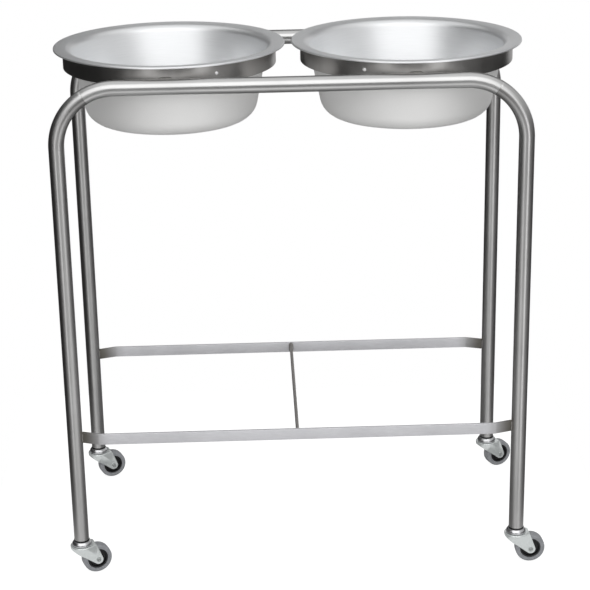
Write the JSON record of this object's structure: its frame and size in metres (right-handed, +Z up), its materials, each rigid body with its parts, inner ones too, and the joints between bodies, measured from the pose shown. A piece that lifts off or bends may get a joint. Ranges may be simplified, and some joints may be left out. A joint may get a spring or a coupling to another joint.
{
  "type": "double basin stand",
  "caption": "Mobile stand of bent steel tube on swivel casters, with an H brace of flat bar; strip hoops between its rails hold lift-out basins side by side.",
  "frame": {"origin": "on the floor, midway between the four caster swivel axes", "axes": "+X to the right along the rails as seen from the front, +Y to the rear frame, +Z up"},
  "size_m": [0.8194, 0.4278, 0.8837],
  "materials": {
    "brushed_tube": "brushed stainless steel tube",
    "strip_steel": "plain stainless steel strip and bar",
    "satin_basin": "satin stainless steel sheet",
    "zinc_plate": "zinc-plated pressed steel",
    "chrome": "bright chrome",
    "black_plastic": "moulded black plastic",
    "grey_rubber": "grey rubber tread"
  },
  "bodies": {
    "frame_body": {"front_rail": "brushed_tube", "rear_rail": "brushed_tube", "front_left_leg": "brushed_tube", "front_right_leg": "brushed_tube", "rear_left_leg": "brushed_tube", "rear_right_leg": "brushed_tube", "left_hoop": "strip_steel", "right_hoop": "strip_steel", "left_hoop_rivet": "chrome", "right_hoop_rivet": "chrome", "front_brace_bar": "strip_steel", "rear_brace_bar": "strip_steel", "brace_strut": "strip_steel", "front_left_socket": "black_plastic", "front_left_stem": "strip_steel", "front_left_race": "chrome", "front_right_socket": "black_plastic", "front_right_stem": "strip_steel", "front_right_race": "chrome", "rear_left_socket": "black_plastic", "rear_left_stem": "strip_steel", "rear_left_race": "chrome", "rear_right_socket": "black_plastic", "rear_right_stem": "strip_steel", "rear_right_race": "chrome"},
    "left_basin_body": {"left_basin": "satin_basin"},
    "right_basin_body": {"right_basin": "satin_basin"},
    "front_left_swivel": {"front_left_ball_ring": "strip_steel", "front_left_fork": "zinc_plate", "front_left_axle": "zinc_plate", "front_left_bush": "strip_steel"},
    "front_left_wheel": {"front_left_hub": "black_plastic", "front_left_tyre": "grey_rubber"},
    "front_right_swivel": {"front_right_ball_ring": "strip_steel", "front_right_fork": "zinc_plate", "front_right_axle": "zinc_plate", "front_right_bush": "strip_steel"},
    "front_right_wheel": {"front_right_hub": "black_plastic", "front_right_tyre": "grey_rubber"},
    "rear_left_swivel": {"rear_left_ball_ring": "strip_steel", "rear_left_fork": "zinc_plate", "rear_left_axle": "zinc_plate", "rear_left_bush": "strip_steel"},
    "rear_left_wheel": {"rear_left_hub": "black_plastic", "rear_left_tyre": "grey_rubber"},
    "rear_right_swivel": {"rear_right_ball_ring": "strip_steel", "rear_right_fork": "zinc_plate", "rear_right_axle": "zinc_plate", "rear_right_bush": "strip_steel"},
    "rear_right_wheel": {"rear_right_hub": "black_plastic", "rear_right_tyre": "grey_rubber"}
  },
  "joints": [
    {"name": "left_basin_lift", "type": "slide", "parent": "frame_body", "child": "left_basin_body", "axis": [0, 0, 1], "range_m": [0, 0.15]},
    {"name": "right_basin_lift", "type": "slide", "parent": "frame_body", "child": "right_basin_body", "axis": [0, 0, 1], "range_m": [0, 0.15]},
    {"name": "front_left_turn", "type": "hinge", "parent": "frame_body", "child": "front_left_swivel", "pos_m": [-0.37465, -0.1905, 0.055], "axis": [0, 0, 1], "continuous": true},
    {"name": "front_left_roll", "type": "hinge", "parent": "front_left_swivel", "child": "front_left_wheel", "pos_m": [-0.35193, -0.18132, 0.0254], "axis": [-0.3746, 0.9272, 0], "continuous": true},
    {"name": "front_right_turn", "type": "hinge", "parent": "frame_body", "child": "front_right_swivel", "pos_m": [0.37465, -0.1905, 0.055], "axis": [0, 0, 1], "continuous": true},
    {"name": "front_right_roll", "type": "hinge", "parent": "front_right_swivel", "child": "front_right_wheel", "pos_m": [0.39912, -0.18922, 0.0254], "axis": [-0.0523, 0.9986, 0], "continuous": true},
    {"name": "rear_left_turn", "type": "hinge", "parent": "frame_body", "child": "rear_left_swivel", "pos_m": [-0.37465, 0.1905, 0.055], "axis": [0, 0, 1], "continuous": true},
    {"name": "rear_left_roll", "type": "hinge", "parent": "rear_left_swivel", "child": "rear_left_wheel", "pos_m": [-0.35193, 0.19968, 0.0254], "axis": [-0.3746, 0.9272, 0], "continuous": true},
    {"name": "rear_right_turn", "type": "hinge", "parent": "frame_body", "child": "rear_right_swivel", "pos_m": [0.37465, 0.1905, 0.055], "axis": [0, 0, 1], "continuous": true},
    {"name": "rear_right_roll", "type": "hinge", "parent": "rear_right_swivel", "child": "rear_right_wheel", "pos_m": [0.39737, 0.19968, 0.0254], "axis": [-0.3746, 0.9272, 0], "continuous": true}
  ]
}
